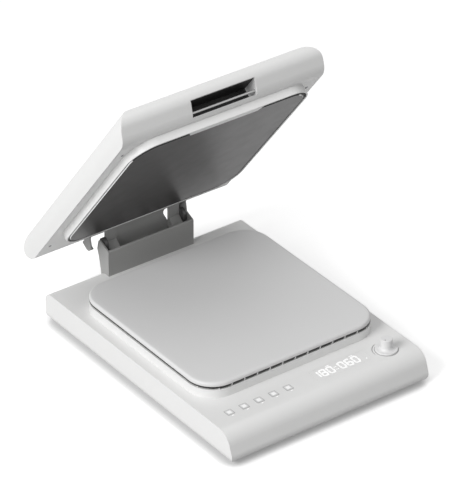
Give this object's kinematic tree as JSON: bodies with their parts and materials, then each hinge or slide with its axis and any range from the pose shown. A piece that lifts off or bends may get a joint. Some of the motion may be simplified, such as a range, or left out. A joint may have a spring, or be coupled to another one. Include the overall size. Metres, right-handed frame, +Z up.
{
  "type": "automatic heat press",
  "caption": "Flat heat press with a rising padded platen in a low base, a control deck in front and a sprung lid that carries the heat plate.",
  "frame": {"origin": "on the table under the centre of the base's footprint", "axes": "+X to the right seen from the front, +Y to the rear, +Z up"},
  "size_m": [0.44, 0.6622, 0.5464],
  "materials": {
    "shell": "smooth white, satin gloss",
    "underside": "smooth pale grey",
    "heat_coating": "dark non-stick coating, satin",
    "silicone": "soft pale silicone",
    "bare_aluminium": "brushed",
    "steel": "ground",
    "spring_steel": "drawn wire",
    "bronze": "sintered",
    "gear_plastic": "moulded",
    "tower_grey": "satin grey",
    "arm_paint": "satin pale grey",
    "bracket_black": "satin black",
    "rubber_black": "matte",
    "recess_black": "fine texture",
    "grip_metal": "satin",
    "board_green": "solder mask",
    "module_black": "moulded",
    "dark_window": "flush window, digits shine through",
    "lit_key": "translucent key",
    "knob_metal": "turned, satin",
    "element_foil": "foil in film",
    "insulation": "pressed fibre board"
  },
  "bodies": {
    "base": {"base_cover": "shell", "base_pan": "shell", "foot_front_left": "rubber_black", "foot_front_right": "rubber_black", "foot_rear_left": "rubber_black", "foot_rear_right": "rubber_black", "guide_post_left_front": "steel", "guide_post_left_rear": "steel", "guide_post_right_front": "steel", "guide_post_right_rear": "steel", "hinge_bracket_left": "bracket_black", "hinge_bracket_right": "bracket_black", "return_spring_left": "spring_steel", "return_spring_right": "spring_steel", "hinge_tower": "tower_grey", "hinge_pin": "steel", "lift_motor": "steel", "lift_bearing": "bronze", "gear_bridge": "steel", "control_board": "board_green", "display_module": "module_black", "display_window": "dark_window", "power_board": "board_green", "power_inlet": "recess_black", "switch_housing": "recess_black", "encoder": "module_black"},
    "lid": {"lid_cover": "shell", "lid_frame": "underside", "heat_plate": "heat_coating", "heating_element": "element_foil", "insulation_board": "insulation", "temperature_sensor": "bare_aluminium", "thermal_cutout": "bare_aluminium", "handle_cup": "recess_black", "grip_bar": "grip_metal", "hinge_frame": "arm_paint", "plate_seal": "recess_black"},
    "platen": {"platen_carrier": "recess_black", "platen_plate": "bare_aluminium", "pressing_pad": "silicone", "lift_screw": "steel", "guide_bush_left_front": "bronze", "guide_bush_left_rear": "bronze", "guide_bush_right_front": "bronze", "guide_bush_right_rear": "bronze"},
    "gear": {"lift_gear": "gear_plastic"},
    "pinion": {"motor_pinion": "gear_plastic", "motor_shaft": "steel"},
    "knob": {"control_knob": "knob_metal", "encoder_shaft": "steel"},
    "rocker": {"power_rocker": "recess_black"},
    "key_1": {"button_1": "lit_key"},
    "key_2": {"button_2": "lit_key"},
    "key_3": {"button_3": "lit_key"},
    "key_4": {"button_4": "lit_key"},
    "key_5": {"button_5": "lit_key"}
  },
  "joints": [
    {"name": "lid_hinge", "type": "hinge", "parent": "base", "child": "lid", "pos_m": [0, 0.283, 0.0973], "axis": [1, 0, 0], "range_deg": [0, 52.2], "stiffness_Nm_per_rad": 71, "springref_deg": -16.67},
    {"name": "platen_lift", "type": "slide", "parent": "base", "child": "platen", "axis": [0, 0, 1], "range_m": [0, 0.031]},
    {"name": "gear_spin", "type": "hinge", "parent": "base", "child": "gear", "pos_m": [0, 0.02, 0.049], "axis": [0, 0, 1], "range_deg": [-10, 1405]},
    {"name": "pinion_spin", "type": "hinge", "parent": "base", "child": "pinion", "pos_m": [0.04688, 0.02, 0.049], "axis": [0, 0, 1], "range_deg": [-5600, 20]},
    {"name": "knob_turn", "type": "hinge", "parent": "base", "child": "knob", "pos_m": [0.1676, -0.229, 0.075], "axis": [0, 0, 1], "continuous": true},
    {"name": "rocker_tip", "type": "hinge", "parent": "base", "child": "rocker", "pos_m": [0.082, 0.2886, 0.033], "axis": [-1, 0, 0], "range_deg": [0, 20]},
    {"name": "key_1_press", "type": "slide", "parent": "base", "child": "key_1", "axis": [0, 0, -1], "range_m": [0, 0.0008], "stiffness_N_per_m": 600, "springref_m": -0.002},
    {"name": "key_2_press", "type": "slide", "parent": "base", "child": "key_2", "axis": [0, 0, -1], "range_m": [0, 0.0008], "stiffness_N_per_m": 600, "springref_m": -0.002},
    {"name": "key_3_press", "type": "slide", "parent": "base", "child": "key_3", "axis": [0, 0, -1], "range_m": [0, 0.0008], "stiffness_N_per_m": 600, "springref_m": -0.002},
    {"name": "key_4_press", "type": "slide", "parent": "base", "child": "key_4", "axis": [0, 0, -1], "range_m": [0, 0.0008], "stiffness_N_per_m": 600, "springref_m": -0.002},
    {"name": "key_5_press", "type": "slide", "parent": "base", "child": "key_5", "axis": [0, 0, -1], "range_m": [0, 0.0008], "stiffness_N_per_m": 600, "springref_m": -0.002}
  ],
  "couplings": [
    {"joint": "gear_spin", "follows": "platen_lift", "rad_per_m": 785.4},
    {"joint": "pinion_spin", "follows": "platen_lift", "rad_per_m": -3141.6}
  ]
}
